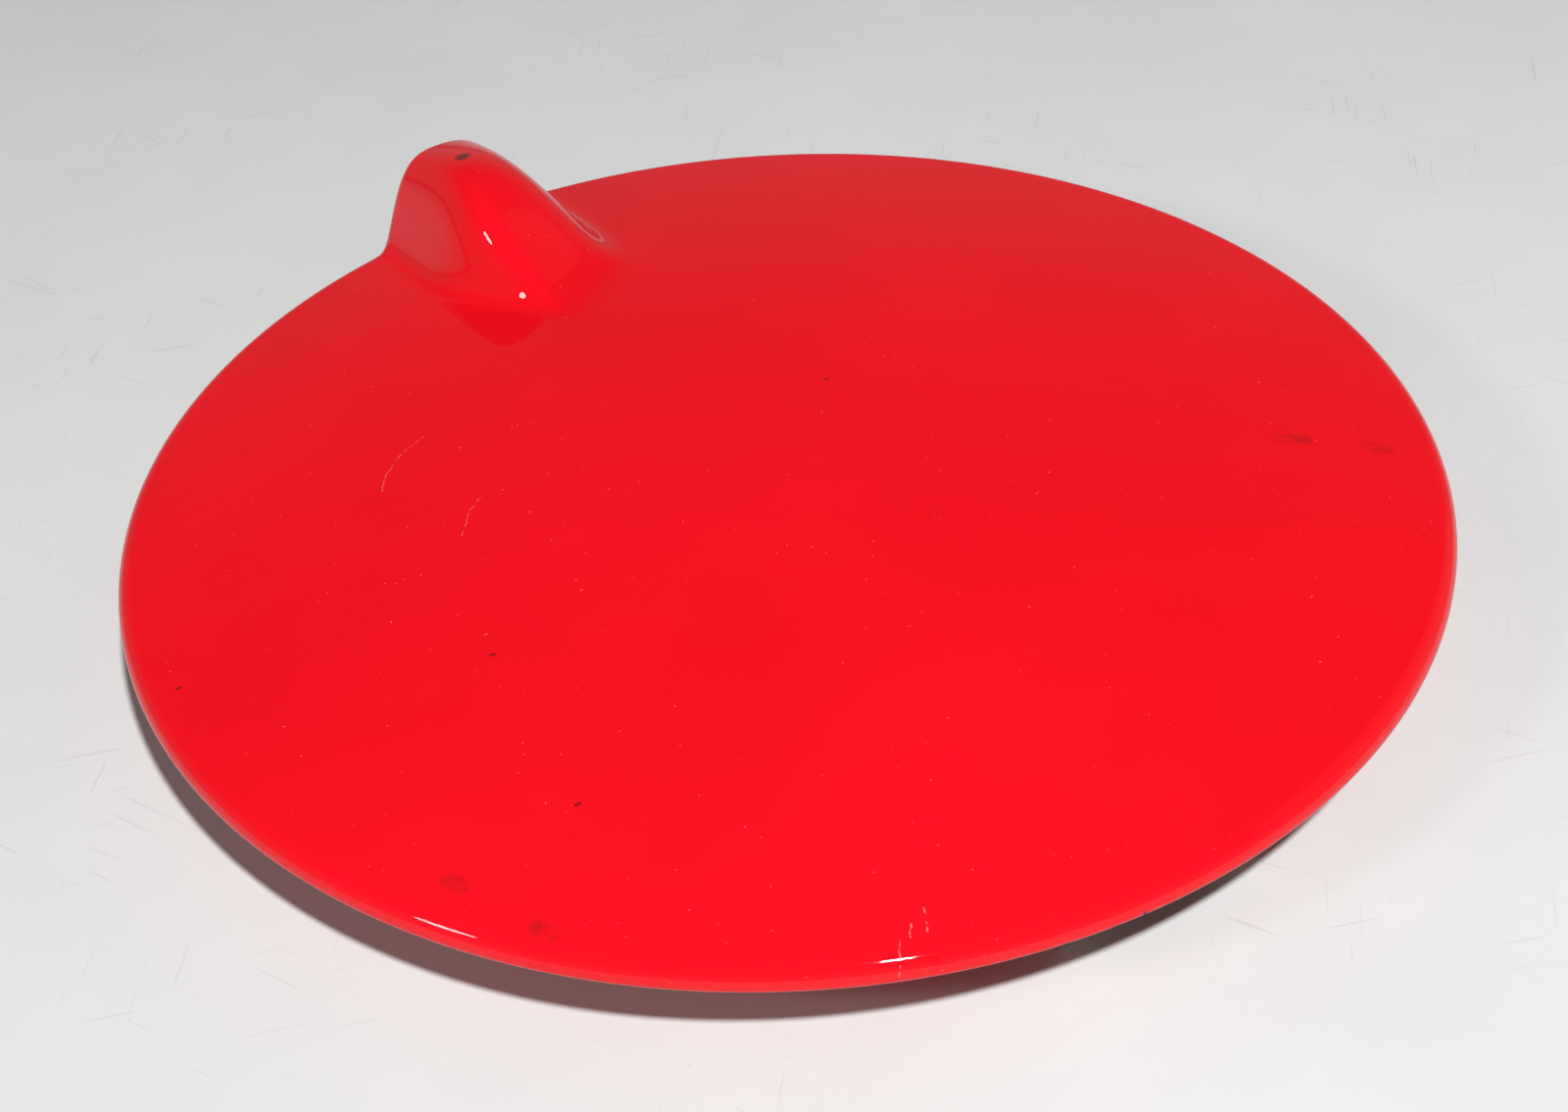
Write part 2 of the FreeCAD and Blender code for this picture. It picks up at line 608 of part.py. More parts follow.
def cap_holder():
    """Moulded hook that the filler cap hangs from while the flap is open."""
    low = holder_plate_low()
    back = HOLDER_Y
    plate = box(-HOLDER_HALF, HOLDER_HALF, back - HOLDER_BEHIND, back + HOLDER_AHEAD, low, PANEL_CROWN)
    plate = under_panel(plate.makeFillet(HOLDER_CORNER, upright_edges(plate)))
    lip = back + HOLDER_WALL + HOLDER_SLOT
    front = lip + HOLDER_WALL
    floor = HOLDER_BOTTOM + HOLDER_WALL
    bottom_edge = HOLDER_BOTTOM + HOOK_EDGE
    hook = prism_yz([(back, low + 1), (back, bottom_edge), (back + HOOK_EDGE, HOLDER_BOTTOM),
                     (front - HOOK_EDGE, HOLDER_BOTTOM), (front, bottom_edge), (front, floor + HOOK_LIP),
                     (lip, floor + HOOK_LIP), (lip, floor), (back + HOLDER_WALL, floor),
                     (back + HOLDER_WALL, low + 1)], -HOOK_HALF, HOOK_HALF)
    holes = [disc(RIVET + FIT, 0, PANEL_CROWN + 1, x, back + RIVET_Y) for x in (-RIVET_X, RIVET_X)]
    return plate.fuse(hook).cut(Part.makeCompound(holes)).removeSplitter()


def holder_rivet(x):
    """Plastic push rivet with a round head below and a spread tip above."""
    low = holder_plate_low()
    high = panel_height(x, HOLDER_Y + RIVET_Y)
    points = [(0, low - RIVET_HEAD_HEIGHT), (RIVET + 0.4, low - RIVET_HEAD_HEIGHT), (RIVET_HEAD, low - 0.5),
              (RIVET_HEAD, low), (RIVET, low), (RIVET, high + 0.1), (RIVET + 0.8, high + 0.4),
              (RIVET - 0.4, high + 2.0), (0, high + 2.0)]
    return turned(points, x, HOLDER_Y + RIVET_Y)


# ------------------------------------------------------------------ hinge, car side
def hinge_bracket():
    """Pressed bracket: base plate, tongue, two ears and a lanced bridge that holds a spring leg."""
    base = box(-BASE_HALF, BASE_HALF, MOUNT_Y - MOUNT_EDGE, BASE_BACK, 0, BASE)
    tongue = box(-TONGUE_HALF, TONGUE_HALF, BASE_FRONT, MOUNT_Y, 0, BASE)
    plate = fuse([base, tongue])
    outer = [e for e in upright_edges(plate) if abs(e.CenterOfMass.x) > BASE_HALF - 0.1]
    shapes = [plate.makeFillet(BASE_CORNER, outer)]
    front = BASE_FRONT + 1
    back = BASE_FRONT + EAR_FOOT
    for side in (-1, 1):
        x0, x1 = both_sides(side, BRACKET_EAR_X, BRACKET_EAR_X + EAR)
        strap = strap_yz(BRACKET_EAR_RADIUS, [(front, 0), (back, BASE)], x0, x1)
        shapes.append(strap.fuse(box(x0, x1, front, back, 0, BASE)))
    roof = BASE + 2 * (WIRE + LEG_GAP)
    x = -COIL_HALF
    end = BRIDGE_Y + BRIDGE_LENGTH
    bridge = box(x - BRIDGE_HALF, x + BRIDGE_HALF, BRIDGE_Y, end, BASE, roof + BRIDGE_ROOF)
    tunnel = box(x - TUNNEL_HALF, x + TUNNEL_HALF, BRIDGE_Y - 1, end + 1, BASE, roof)
    shapes.append(bridge.cut(tunnel))
    bracket = fuse(shapes)
    holes = [disc(MOUNT_HOLE, -1, BASE + 1, x, MOUNT_Y) for x in (-MOUNT_X, MOUNT_X)]
    holes.append(rod(PIN_RADIUS, -BASE_HALF, BASE_HALF))
    return bracket.cut(Part.makeCompound(holes))


def hinge_pin():
    """Headed pin with a groove for the clip."""
    groove = PIN_SPAN + PIN_WASHER
    end = groove + CLIP + PIN_END
    pin = rod(PIN_RADIUS, -PIN_SPAN, end)
    pin = pin.makeChamfer(PIN_CHAMFER, [e for e in pin.Edges if e.CenterOfMass.x > end - 0.01])
    head_face = -PIN_SPAN - PIN_HEAD
    head = rod(PIN_HEAD_RADIUS, head_face, -PIN_SPAN)
    head = head.makeFillet(PIN_HEAD_EDGE, [e for e in head.Edges if e.CenterOfMass.x < head_face + 0.01])
    ring = rod(PIN_RADIUS + 1, groove, groove + CLIP).cut(rod(GROOVE_RADIUS, groove, groove + CLIP))
    return fuse([pin, head]).cut(ring)


def pin_washer():
    face = PIN_SPAN + PIN_WASHER
    return rod(PIN_WASHER_RADIUS, PIN_SPAN, face).cut(rod(PIN_RADIUS + FIT, PIN_SPAN - 1, face + 1))


def pin_clip():
    """E-clip in the pin's groove, open towards the base."""
    x0 = PIN_SPAN + PIN_WASHER
    x1 = x0 + CLIP
    ring = rod(CLIP_RADIUS, x0, x1).cut(rod(PIN_RADIUS + CLIP_GAP, x0 - 1, x1 + 1))
    mouth_low = PIVOT_Z - CLIP_RADIUS - 1
    mouth = box(x0 - 1, x1 + 1, PIVOT_Y - CLIP_MOUTH, PIVOT_Y + CLIP_MOUTH, mouth_low, PIVOT_Z)
    shapes = [ring.cut(mouth)]
    for turn in PRONG_TURNS:
        prong = box(x0, x1, PIVOT_Y + GROOVE_RADIUS, PIVOT_Y + PRONG_REACH,
                    PIVOT_Z - PRONG_HALF, PIVOT_Z + PRONG_HALF)
        prong.rotate(V(0, PIVOT_Y, PIVOT_Z), X_AXIS, turn)
        shapes.append(prong.cut(rod(GROOVE_RADIUS, x0 - 1, x1 + 1)))
    return fuse(shapes)


def leg(points):
    """Round wire along straight runs with ball corners."""
    shapes = [Part.makeSphere(WIRE, points[0])]
    for start, end in zip(points, points[1:]):
        run = end.sub(start)
        shapes.append(Part.makeCylinder(WIRE, run.Length, start, run))
        shapes.append(Part.makeSphere(WIRE, end))
    return fuse(shapes)


def torsion_spring():
    """Closing spring: a coil round the pin, one leg under the bridge and one up against the panel."""
    spine = Part.makeHelix(COIL_PITCH, 2 * COIL_HALF, COIL_RADIUS, 0, True)
    spine.rotate(ORIGIN, Y_AXIS, 90)
    spine.translate(V(-COIL_HALF, PIVOT_Y, PIVOT_Z))
    first = spine.Edges[0]
    start = first.valueAt(first.FirstParameter)
    section = Part.Wire(Part.makeCircle(WIRE, start, first.tangentAt(first.FirstParameter)))
    coil = Part.Wire(spine.Edges).makePipeShell([section], True, True)
    bottom = PIVOT_Z - COIL_RADIUS
    rest = BASE + WIRE + LEG_GAP
    touch = PANEL_SEAT - WIRE - 0.02
    car_leg = [(PIVOT_Y, bottom), (PIVOT_Y + 3.5, bottom - 0.8), (BRIDGE_Y - 2, rest), (BRIDGE_Y + 6, rest)]
    flap_leg = [(PIVOT_Y, bottom), (PIVOT_Y - 2.4, bottom + 0.25), (PIVOT_Y - 3.4, bottom + 1.5),
                (PIVOT_Y - 2.5, touch)]
    legs = [leg([V(x, y, z) for y, z in run]) for x, run in ((-COIL_HALF, car_leg), (COIL_HALF, flap_leg))]
    return fuse([coil] + legs)


def stop_pad(side):
    """Rubber block that the nose of a leaf ear meets when the flap is fully open."""
    x0, x1 = both_sides(side, LEAF_EAR_X - STOP_OVERHANG, LEAF_EAR_X + EAR + STOP_OVERHANG)
    block = box(x0, x1, BASE_FRONT, BASE_FRONT + STOP_DEPTH, BASE, STOP_TOP)
    return block.makeFillet(STOP_EDGE, [e for e in block.Edges if e.CenterOfMass.z > STOP_TOP - 0.01])


# ------------------------------------------------------------------ write
def build():
    places = buffer_places()
    group = Part.makeCompound
    return {
        "outer_skin": outer_skin(),
        "inner_panel": inner_panel(),
        "hem_sealer": hem_sealer(),
        "anti_flutter_pads": group([mastic_dot(azimuth) for azimuth in MASTIC_AZIMUTHS]),
        "blanking_plugs": group([blanking_plug(x, y) for x, y in PLUG_PLACES]),
        "buffer_left": buffer(*places["buffer_left"]),
        "buffer_right": buffer(*places["buffer_right"]),
        "hinge_leaf": hinge_leaf(),
        "bush_left": bush(-1),
        "bush_right": bush(1),
        "leaf_washers": group([leaf_washer(x, y) for x, y in LEAF_BOLTS]),
        "leaf_screws": group([leaf_screw(x, y) for x, y in LEAF_BOLTS]),
        "weld_nuts": group([weld_nut(x, y) for x, y in LEAF_BOLTS]),
        "catch_striker": catch_striker(),
        "striker_screws": group([striker_screw(x) for x in (-STRIKER_SCREW_X, STRIKER_SCREW_X)]),
        "cap_holder": cap_holder(),
        "holder_rivets": group([holder_rivet(x) for x in (-RIVET_X, RIVET_X)]),
        "hinge_bracket": hinge_bracket(),
        "hinge_pin": hinge_pin(),
        "pin_washer": pin_washer(),
        "pin_clip": pin_clip(),
        "torsion_spring": torsion_spring(),
        "open_stop_pads": group([stop_pad(side) for side in (-1, 1)]),
    }


os.makedirs(PARTS_FOLDER, exist_ok=True)
for name, shape in build().items():
    shape.exportStep(os.path.join(PARTS_FOLDER, name + ".step"))
    bounds = shape.BoundBox
    sizes = [round(size, 2) for size in (bounds.XLength, bounds.YLength, bounds.ZLength)]
    print(name, "solids", len(shape.Solids), "valid", shape.isValid(), "volume", round(shape.Volume, 1),
          "size", sizes, "top", round(bounds.ZMax, 2))
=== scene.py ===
"""Looks of the round fuel filler flap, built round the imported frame.

The painted skin and the closing spring are rebuilt here as fine meshes from the same few
dimensions as the CAD; every other part keeps its CAD shape and gets a procedural material.
Lengths are in millimetres and angles in degrees, until MM turns lengths into metres.
"""

import json
import math

import bmesh
import bpy
import numpy as np
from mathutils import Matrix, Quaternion, Vector


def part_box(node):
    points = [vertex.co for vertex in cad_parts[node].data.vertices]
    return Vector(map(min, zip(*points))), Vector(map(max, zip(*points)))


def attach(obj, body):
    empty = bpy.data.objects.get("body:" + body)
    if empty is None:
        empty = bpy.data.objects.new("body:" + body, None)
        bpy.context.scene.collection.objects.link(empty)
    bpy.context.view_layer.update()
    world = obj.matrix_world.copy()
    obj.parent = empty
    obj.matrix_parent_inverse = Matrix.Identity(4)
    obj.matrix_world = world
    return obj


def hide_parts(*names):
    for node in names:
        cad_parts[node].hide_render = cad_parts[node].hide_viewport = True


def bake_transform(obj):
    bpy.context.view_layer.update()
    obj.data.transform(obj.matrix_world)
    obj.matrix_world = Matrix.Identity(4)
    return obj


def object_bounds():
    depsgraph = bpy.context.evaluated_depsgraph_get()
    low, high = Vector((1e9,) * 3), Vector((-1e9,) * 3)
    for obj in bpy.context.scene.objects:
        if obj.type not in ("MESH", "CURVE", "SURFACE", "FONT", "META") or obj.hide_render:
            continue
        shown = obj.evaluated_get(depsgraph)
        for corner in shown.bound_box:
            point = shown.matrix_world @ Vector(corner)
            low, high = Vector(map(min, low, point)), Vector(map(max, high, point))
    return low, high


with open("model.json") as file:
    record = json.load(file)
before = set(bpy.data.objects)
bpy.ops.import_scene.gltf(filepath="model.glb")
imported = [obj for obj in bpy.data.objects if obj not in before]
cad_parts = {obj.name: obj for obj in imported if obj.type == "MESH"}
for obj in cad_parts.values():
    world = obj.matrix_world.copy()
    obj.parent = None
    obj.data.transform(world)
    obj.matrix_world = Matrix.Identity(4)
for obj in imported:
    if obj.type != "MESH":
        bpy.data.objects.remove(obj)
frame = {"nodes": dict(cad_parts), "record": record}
nodes = frame["nodes"]
cad_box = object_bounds()
MM = 0.001

# ---- the skin, as in the CAD
DISC_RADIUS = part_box("outer_skin")[1].x / MM
RIM_ROLL = 2.5            # outside radius of the rolled rim
ROLL_HEIGHT = 13.0        # height of the roll's centre
DOME_RADIUS = 626.0
SKIN = 0.9                # sheet thickness
HEM_HEIGHT = 12.0         # underside of the hem
HEM_WIDTH = 4.0

# ---- the finger pull, as in the CAD: each flank's turn from +Y to +X, foot distance, slope
LEFT_FLANK = (90.0, -16.9, 70.0)
RIGHT_FLANK = (-90.0, -9.4, 63.0)
TAIL_FLANK = (-27.5, 47.8, 44.5)
CORNER_FLANK = (61.0, 17.1, 74.5)
PULL_TOP = 14.3           # crest at the rim
CREST_RISE = 0.18         # and its rise per millimetre inwards
CROWN_SOFTNESS = 4.1
FOOT_SOFTNESS = 1.6

# ---- the skin's mesh, with its columns in degrees
CENTRE_RADII = [2.0, 5.0, 9.0, 14.0, 19.0, 24.0, 28.0]
DOME_STEP = 0.7
ROLL_STEPS = 12
FOLD_STEPS = 6
LIP_STEPS = 5
PULL_HALF = 22.0          # the sector with narrow columns
PULL_COLUMN = 0.25
PLAIN_COLUMN = 1.2
SPLIT_LIFT = 0.03         # where the pull lifts the rim by more, its lip is clear of the hem
LIP_ROUNDING = 0.15
HEM_CORNER = 0.2          # bevel on the hem's raw edge
SHARP_EDGE = 40.0

# ---- the closing spring
WIRE = 0.45               # radius
COIL_RADIUS = 2.45
COIL_PITCH = 1.15
COIL_TURNS = 12
COIL_STEPS = 28           # points in one turn
WIRE_SIDES = 14
CORNER = 0.9              # radius that rounds the legs' corners
CORNER_STEPS = 5
PIVOT_Y = -81.5
PIVOT_Z = 9.5
LEG_REST = 2.05           # height of the car-side leg on the bracket's base
PANEL_GAP = 0.02          # between the flap-side leg's end and the panel
# each leg's corners from the pivot line: (Y, height over the coil's lowest point)
CAR_LEG_START = (3.5, -0.8)
CAR_LEG_RUN = (9.5, 17.5)     # Y where the leg reaches the base and where it ends
FLAP_LEG = [(-2.4, 0.25), (-3.4, 1.5)]
FLAP_LEG_END = -2.5           # Y of the end that presses on the panel

# ---- camera, round the top of the dome
CAMERA_AZIMUTH = -31.2
CAMERA_ELEVATION = 35.99
CAMERA_DISTANCE = 344.3
CAMERA_AIM = (-7.2, -11.2, 12.5)
CAMERA_ROLL = -3.55
LENS = 58.5

KEY_LAMP = (-15.0, 56.0, 1100.0, 3.70, 66.0)
SIDE_PANEL = (75.0, 28.0, 1000.0, 0.08, 950.0)
LEFT_LAMP = (-88.0, 32.0, 1500.0, 0.46, 230.0)
FLOOR_SIZE = 8000.0
HORIZON = (0.275, 0.275, 0.270)
CEILING = (0.05, 0.05, 0.055)
HORIZON_END = 0.10            # sine of the elevation where the horizon's tone ends
CEILING_START = 0.70          # and of where the ceiling's tone is reached
FLOOR_MARK_TURNS = [20.0, 65.0, 130.0]
FLOOR_MARK_STRETCH = 0.045    # the smaller, the longer the hairlines


# ------------------------------------------------------------------ shape of the skin
TANGENT = math.asin((DISC_RADIUS - RIM_ROLL) / (DOME_RADIUS - RIM_ROLL))
DOME_CENTRE = ROLL_HEIGHT - (DOME_RADIUS - RIM_ROLL) * math.cos(TANGENT)


def pull_height(x, y, inset):
    """Height of the finger pull over the plain disc; inset gives the sheet's other face."""
    total = np.exp(-(PULL_TOP + CREST_RISE * (DISC_RADIUS - y)) / CROWN_SOFTNESS)
    for turn, distance, slope in (LEFT_FLANK, RIGHT_FLANK, TAIL_FLANK, CORNER_FLANK):
        turn = math.radians(turn)
        slope = math.radians(slope)
        run = x * math.sin(turn) + y * math.cos(turn) - distance
        plane = run * math.tan(slope) - inset * (1.0 / math.cos(slope) - 1.0)
        total = total + np.exp(-plane / CROWN_SOFTNESS)
    hump = -CROWN_SOFTNESS * np.log(total)
    return FOOT_SOFTNESS * np.log1p(np.exp(hump / FOOT_SOFTNESS))


def face_rows(inset):
    """(r, z) rows of one face of the sheet, from near the centre to the end of the roll."""
    dome = DOME_RADIUS - inset
    roll = RIM_ROLL - inset
    last = dome * math.sin(TANGENT)
    even = np.arange(CENTRE_RADII[-1] + DOME_STEP, last - DOME_STEP / 2, DOME_STEP)
    rows = [(r, DOME_CENTRE + math.sqrt(dome ** 2 - r ** 2)) for r in CENTRE_RADII + list(even)]
    for i in range(ROLL_STEPS + 1):
        angle = TANGENT + (math.pi / 2 - TANGENT) * i / ROLL_STEPS
        r = DISC_RADIUS - RIM_ROLL + roll * math.sin(angle)
        rows.append((r, ROLL_HEIGHT + roll * math.cos(angle)))
    return rows


def column_angles():
    """Angles of the mesh's columns from +Y: narrow ones over the pull, wide ones elsewhere."""
    narrow = int(round(2 * PULL_HALF / PULL_COLUMN))
    wide = int(round((360 - 2 * PULL_HALF) / PLAIN_COLUMN))
    inside = [-PULL_HALF + 2 * PULL_HALF * i / narrow for i in range(narrow)]
    outside = [PULL_HALF + (360 - 2 * PULL_HALF) * i / wide for i in range(wide)]
    return np.radians(inside + outside)


def skin_mesh():
    """The painted sheet with its rolled rim, folded hem and finger pull, as one closed mesh."""
    turns = column_angles()
    count = len(turns)
    points = []

    def ring(r, z, inset, lifted, columns=range(count)):
        """New points at radius r and height z in these columns; gives their numbers by column."""
        made = {}
        for c in columns:
            x = r * math.sin(turns[c])
            y = r * math.cos(turns[c])
            lift = float(pull_height(x, y, inset)) if lifted else 0.0
            made[c] = len(points)
            points.append((x * MM, y * MM, (z + lift) * MM))
        return made

    faces = []

    def join(first, second, columns, closed):
        """Faces between two rings, all the way round or only along these columns."""
        for i, c in enumerate(columns[:None if closed else -1]):
            after = columns[(i + 1) % len(columns)]
            faces.append((first[c], first[after], second[after], second[c]))

    everywhere = list(range(count))
    lifts = pull_height(DISC_RADIUS * np.sin(turns), DISC_RADIUS * np.cos(turns), 0.0)
    split = [c for c in everywhere if lifts[c] > SPLIT_LIFT]
    ends = (split[0], split[-1])
    between = split[1:-1]

    outer = [ring(r, z, 0.0, True) for r, z in face_rows(0.0)]
    hem_top = HEM_HEIGHT + SKIN
    outer.append(ring(DISC_RADIUS, hem_top, 0.0, True))
    inner_wall = DISC_RADIUS - SKIN
    inner = [ring(inner_wall, hem_top, SKIN, True)]
    inner += [ring(r, z, SKIN, True) for r, z in reversed(face_rows(SKIN))]
    for rings in (outer, inner):
        for first, second in zip(rings, rings[1:]):
            join(first, second, everywhere, True)

    # the hem: one closed strip, whose first and last rings leave the sheet where the pull lifts it
    low_outer = dict(outer[-1])
    low_outer.update(ring(DISC_RADIUS, hem_top, 0.0, False, between))
    low_inner = dict(inner[0])
    low_inner.update(ring(inner_wall, hem_top, SKIN, False, between))
    edge = DISC_RADIUS - HEM_WIDTH
    hem = [low_outer]
    for i in range(1, FOLD_STEPS + 1):
        angle = math.pi / 2 * i / FOLD_STEPS
        r = inner_wall + SKIN * math.cos(angle)
        hem.append(ring(r, hem_top - SKIN * math.sin(angle), 0.0, False))
    raw_edge = [(edge + HEM_CORNER, HEM_HEIGHT), (edge, HEM_HEIGHT + HEM_CORNER),
                (edge, hem_top - HEM_CORNER), (edge + HEM_CORNER, hem_top)]
    hem += [ring(r, z, 0.0, False) for r, z in raw_edge]
    hem.append(low_inner)
    for first, second in zip(hem, hem[1:]):
        join(first, second, everywhere, True)

    # the pull's free edge, and under it the upper edge of the hem
    lips = [outer[-1]]
    sills = [low_outer]
    for i in range(1, LIP_STEPS):
        share = i / LIP_STEPS
        r = DISC_RADIUS - SKIN * share
        round_off = LIP_ROUNDING * math.sin(math.pi * share)
        shared = ring(r, hem_top, SKIN * share, True, ends)
        lip = dict(shared)
        lip.update(ring(r, hem_top - round_off, SKIN * share, True, between))
        sill = dict(shared)
        sill.update(ring(r, hem_top, 0.0, False, between))
        lips.append(lip)
        sills.append(sill)
    lips.append(inner[0])
    sills.append(low_inner)
    for strip in (lips, sills):
        for first, second in zip(strip, strip[1:]):
            join(first, second, split, False)

    for rings, inset in ((outer[0], 0.0), (inner[-1], SKIN)):
        centre = len(points)
        points.append((0.0, 0.0, (DOME_CENTRE + DOME_RADIUS - inset) * MM))
        for c in everywhere:
            faces.append((rings[c], rings[(c + 1) % count], centre))
    return solid_mesh("outer_skin_painted", points, faces)


def solid_mesh(name, points, faces):
    """A smooth closed mesh object whose faces point outwards and whose real corners stay sharp."""
    mesh = bpy.data.meshes.new(name)
    mesh.from_pydata(points, [], faces)
    work = bmesh.new()
    work.from_mesh(mesh)
    bmesh.ops.recalc_face_normals(work, faces=work.faces)
    work.to_mesh(mesh)
    work.free()
    mesh.shade_smooth()
    mesh.set_sharp_from_angle(angle=math.radians(SHARP_EDGE))
    made = bpy.data.objects.new(name, mesh)
    bpy.context.scene.collection.objects.link(made)
    return made


# ------------------------------------------------------------------ the closing spring
def rounded(corners):
    """The straight runs through these corners, with each inner corner rounded off."""
    path = [corners[0]]
    for before, corner, after in zip(corners, corners[1:], corners[2:]):
        back = min(CORNER, (corner - before).length / 2)
        ahead = min(CORNER, (after - corner).length / 2)
        start = corner + (before - corner).normalized() * back
        end = corner + (after - corner).normalized() * ahead
        for i in range(CORNER_STEPS + 1):
            t = i / CORNER_STEPS
            path.append(start * (1 - t) ** 2 + corner * 2 * t * (1 - t) + end * t * t)
    path.append(corners[-1])
    return path


def spring_path():
    """The wire's centreline: the car-side leg, the coil round the pin and the flap-side leg."""
    half = COIL_PITCH * COIL_TURNS / 2
    low = PIVOT_Z - COIL_RADIUS
    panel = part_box("hem_sealer")[1].z / MM - WIRE - PANEL_GAP
    car = [Vector((-half, PIVOT_Y + y, LEG_REST)) for y in reversed(CAR_LEG_RUN)]
    car.append(Vector((-half, PIVOT_Y + CAR_LEG_START[0], low + CAR_LEG_START[1])))
    car.append(Vector((-half, PIVOT_Y, low)))
    flap = [Vector((half, PIVOT_Y, low))]
    flap += [Vector((half, PIVOT_Y + y, low + rise)) for y, rise in FLAP_LEG]
    flap.append(Vector((half, PIVOT_Y + FLAP_LEG_END, panel)))
    coil = []
    for i in range(1, COIL_TURNS * COIL_STEPS):
        turn = 2 * math.pi * i / COIL_STEPS
        x = -half + COIL_PITCH * i / COIL_STEPS
        y = PIVOT_Y - COIL_RADIUS * math.sin(turn)
        coil.append(Vector((x, y, PIVOT_Z - COIL_RADIUS * math.cos(turn))))
    return rounded(car) + coil + rounded(flap)


def wire_mesh(name, path, radius, sides):
    """A round wire along a path, closed at both ends, with no twist between its rings."""
    points = []
    faces = []
    side = None
    for i, here in enumerate(path):
        along = (path[min(i + 1, len(path) - 1)] - path[max(i - 1, 0)]).normalized()
        if side is None:
            side = along.orthogonal()
        side = (side - along * side.dot(along)).normalized()
        other = along.cross(side)
        for k in range(sides):
            turn = 2 * math.pi * k / sides
            points.append((here + (side * math.cos(turn) + other * math.sin(turn)) * radius) * MM)
    for i in range(len(path) - 1):
        for k in range(sides):
            after = (k + 1) % sides
            faces.append((i * sides + k, i * sides + after, (i + 1) * sides + after, (i + 1) * sides + k))
    for start in (0, (len(path) - 1) * sides):
        faces.append(tuple(range(start, start + sides)))
    return solid_mesh(name, points, faces)


# ------------------------------------------------------------------ node helpers
def put(tree, socket, value):
    """Link a socket to another one, or set its value."""
    if isinstance(value, bpy.types.NodeSocket):
        tree.links.new(value, socket)
    elif isinstance(value, (tuple, list)) and socket.type == "RGBA" and len(value) == 3:
        socket.default_value = (*value, 1.0)
    else:
        socket.default_value = value


def add(tree, kind, inputs, **settings):
    """A new node with these settings, and these inputs by name or number."""
    made = tree.nodes.new(kind)
    for name, value in settings.items():
        setattr(made, name, value)
    for name, value in inputs.items():
        put(tree, made.inputs[name], value)
    return made


def maths(tree, operation, a, b=0.0):
    return add(tree, "ShaderNodeMath", {0: a, 1: b}, operation=operation).outputs[0]


def vector_maths(tree, operation, a, b=(0.0, 0.0, 0.0)):
    return add(tree, "ShaderNodeVectorMath", {0: a, 1: b}, operation=operation)


def ramp(tree, value, low, high, bottom=0.0, top=1.0):
    """From bottom at low to top at high, smoothly; low may be above high."""
    inputs = {"Value": value, "From Min": low, "From Max": high, "To Min": bottom, "To Max": top}
    return add(tree, "ShaderNodeMapRange", inputs, interpolation_type="SMOOTHSTEP").outputs[0]


def mix(tree, share, a, b):
    """Colour a turning into b; the node's colour sockets are numbers 6, 7 and, going out, 2."""
    return add(tree, "ShaderNodeMix", {0: share, 6: a, 7: b}, data_type="RGBA").outputs[2]


def place(tree):
    """Where a point of the surface is, in millimetres in the frame at rest."""
    coordinates = tree.nodes.new("ShaderNodeTexCoord").outputs["Object"]
    scaled = vector_maths(tree, "SCALE", coordinates)
    scaled.inputs["Scale"].default_value = 1.0 / MM
    return scaled.outputs[0]


def noise(tree, at, size, detail=2.0, rough=0.5):
    """Noise from 0 to 1 with features about this many millimetres across."""
    inputs = {"Vector": at, "Scale": 1.0 / size, "Detail": detail, "Roughness": rough}
    return add(tree, "ShaderNodeTexNoise", inputs).outputs["Fac"]


def stretched(tree, at, factors):
    return vector_maths(tree, "MULTIPLY", at, factors).outputs[0]


def bump(tree, height, depth):
    """Bump of this many millimetres for height from 0 to 1."""
    inputs = {"Height": height, "Distance": depth * MM, "Strength": 1.0}
    return add(tree, "ShaderNodeBump", inputs).outputs[0]


def new_material(name, **sockets):
    """Material with one Principled shader; sockets sets its inputs, with _ for a space."""
    made = bpy.data.materials.new(name)
    made.use_nodes = True
    tree = made.node_tree
    shader = tree.nodes["Principled BSDF"]
    for key, value in sockets.items():
        put(tree, shader.inputs[key.replace("_", " ")], value)
    return made, tree, shader


STREAK_CORE = 0.35        # share of a streak's width that stays at full strength


def streak_group():
    """Node group: 1 near the straight line from Start to End, fading to 0 at Width from it."""
    group = bpy.data.node_groups.new("streak", "ShaderNodeTree")
    for name, kind in (("Place", "NodeSocketVector"), ("Start", "NodeSocketVector"),
                       ("End", "NodeSocketVector"), ("Width", "NodeSocketFloat")):
        group.interface.new_socket(name, in_out="INPUT", socket_type=kind)
    group.interface.new_socket("Mask", in_out="OUTPUT", socket_type="NodeSocketFloat")
    given = group.nodes.new("NodeGroupInput").outputs
    run = vector_maths(group, "SUBTRACT", given["End"], given["Start"]).outputs[0]
    reach = vector_maths(group, "SUBTRACT", given["Place"], given["Start"]).outputs[0]
    length = vector_maths(group, "DOT_PRODUCT", run, run).outputs["Value"]
    share = maths(group, "DIVIDE", vector_maths(group, "DOT_PRODUCT", reach, run).outputs["Value"], length)
    share = add(group, "ShaderNodeClamp", {0: share}).outputs[0]
    foot = vector_maths(group, "SCALE", run)
    group.links.new(share, foot.inputs["Scale"])
    gap = vector_maths(group, "SUBTRACT", reach, foot.outputs[0]).outputs[0]
    distance = vector_maths(group, "LENGTH", gap).outputs["Value"]
    end = group.nodes.new("NodeGroupOutput")
    mask = ramp(group, maths(group, "DIVIDE", distance, given["Width"]), 1.0, STREAK_CORE)
    group.links.new(mask, end.inputs["Mask"])
    return group


STREAK = streak_group()


